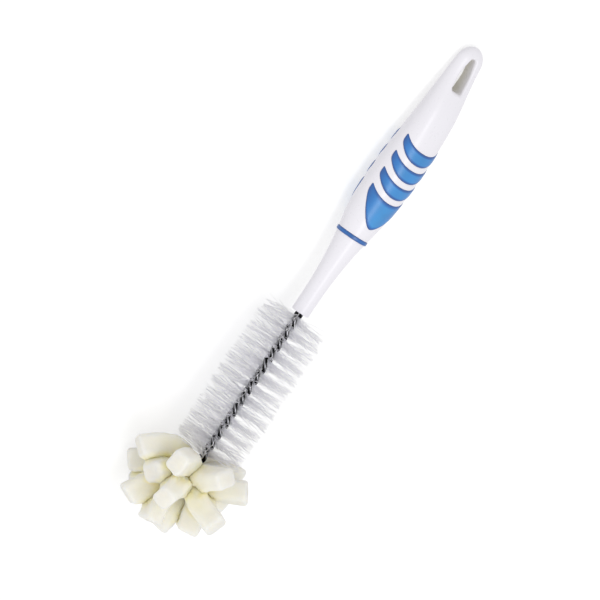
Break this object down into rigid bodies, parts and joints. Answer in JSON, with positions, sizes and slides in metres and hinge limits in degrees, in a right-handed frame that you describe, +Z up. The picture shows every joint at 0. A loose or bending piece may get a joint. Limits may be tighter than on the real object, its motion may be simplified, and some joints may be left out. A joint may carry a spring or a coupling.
{
  "type": "bottle brush",
  "caption": "Long-handled bottle brush: slotted plastic grip with soft chevron pads, twisted wire stem with spiral nylon bristles, and a round foam head for a bottle's base",
  "frame": {"origin": "centre of the brush's box, on the surface it lies on", "axes": "+Z up; the brush lies along X, with the hanging end at -X and the foam head at +X; the pads' front face looks up"},
  "size_m": [0.309, 0.0688, 0.0655],
  "materials": {
    "handle_plastic": "smooth, glossy white",
    "grip_rubber": "satin blue soft grip",
    "wire_steel": "bright drawn wire",
    "nylon": "fine clear filaments",
    "foam": "soft open foam"
  },
  "bodies": {
    "root": {"handle": "handle_plastic", "neck_ring": "grip_rubber", "wire_stem": "wire_steel", "bristles": "nylon", "grip_pad_front_1": "grip_rubber", "grip_pad_front_2": "grip_rubber", "grip_pad_front_3": "grip_rubber", "grip_pad_front_4": "grip_rubber", "grip_pad_back_1": "grip_rubber", "grip_pad_back_2": "grip_rubber", "grip_pad_back_3": "grip_rubber", "grip_pad_back_4": "grip_rubber", "foam_strip_1": "foam", "foam_strip_2": "foam", "foam_strip_3": "foam", "foam_strip_4": "foam", "foam_strip_5": "foam", "foam_strip_6": "foam", "foam_strip_7": "foam", "foam_strip_8": "foam", "foam_strip_9": "foam"}
  },
  "joints": []
}
